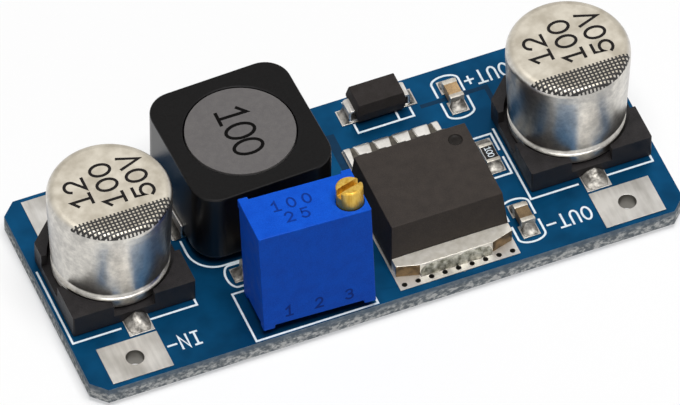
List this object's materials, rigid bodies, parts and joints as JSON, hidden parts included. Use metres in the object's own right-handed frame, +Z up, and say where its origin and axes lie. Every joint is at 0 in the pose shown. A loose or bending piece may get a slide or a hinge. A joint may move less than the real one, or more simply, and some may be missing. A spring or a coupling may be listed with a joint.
{
  "type": "step-up converter module",
  "caption": "Small blue circuit board that raises a DC voltage, with a power regulator, shielded inductor, can capacitors, trimmer with a turning screw and wire terminals.",
  "frame": {"origin": "under the middle of the board, level with the lowest solder tips", "axes": "+X along the board from the input to the output end, +Y from the trimmer edge to the inductor edge, +Z up"},
  "size_m": [0.0514, 0.021, 0.0144],
  "materials": {
    "board_laminate": "blue solder mask over glass-fibre laminate, semi-gloss",
    "tinned_land": "tinned copper, uneven satin",
    "can_aluminium": "drawn aluminium, satin",
    "base_moulding": "black heat-proof moulding, fine matte",
    "package_moulding": "filled epoxy moulding, fine matte",
    "black_ferrite": "black coated ferrite, semi-gloss",
    "grey_ferrite": "ground ferrite, matte",
    "enamelled_wire": "enamelled copper wire",
    "blue_housing": "blue glass-filled moulding, satin",
    "potting_resin": "cast resin",
    "turned_brass": "turned brass, lightly worn",
    "tab_copper": "tinned copper with bare cut ends",
    "tan_ceramic": "sintered ceramic, satin",
    "white_ceramic": "sintered alumina",
    "black_glaze": "printed glaze",
    "tinned_lead": "tin plate, bright",
    "solder": "reflowed solder, bright and wavy"
  },
  "bodies": {
    "module": {"circuit_board": "board_laminate", "terminal_lands": "tinned_land", "component_lands": "tinned_land", "regulator_land": "tinned_land", "trimmer_lands": "tinned_land", "input_capacitor_can": "can_aluminium", "input_capacitor_base": "base_moulding", "input_capacitor_leads": "tinned_lead", "output_capacitor_can": "can_aluminium", "output_capacitor_base": "base_moulding", "output_capacitor_leads": "tinned_lead", "inductor_shield": "black_ferrite", "inductor_core": "grey_ferrite", "inductor_winding": "enamelled_wire", "inductor_base": "base_moulding", "inductor_clips": "tinned_lead", "trimmer_housing": "blue_housing", "trimmer_potting": "potting_resin", "trimmer_pins": "tinned_lead", "regulator_body": "package_moulding", "regulator_tab": "tab_copper", "regulator_leads": "tinned_lead", "diode_body": "package_moulding", "diode_leads": "tinned_lead", "rear_ceramic_body": "tan_ceramic", "rear_ceramic_ends": "tinned_lead", "front_ceramic_body": "tan_ceramic", "front_ceramic_ends": "tinned_lead", "middle_ceramic_body": "tan_ceramic", "middle_ceramic_ends": "tinned_lead", "resistor_body": "white_ceramic", "resistor_glaze": "black_glaze", "resistor_ends": "tinned_lead", "capacitor_solder": "solder", "inductor_solder": "solder", "regulator_solder": "solder", "diode_solder": "solder", "chip_solder": "solder", "trimmer_solder": "solder"},
    "adjuster": {"trimmer_screw": "turned_brass"}
  },
  "joints": [
    {"name": "screw_turn", "type": "hinge", "parent": "module", "child": "adjuster", "pos_m": [-0.0026, -0.00763, 0.01252], "axis": [0.0053, 0.1218, 0.9925], "continuous": true}
  ]
}
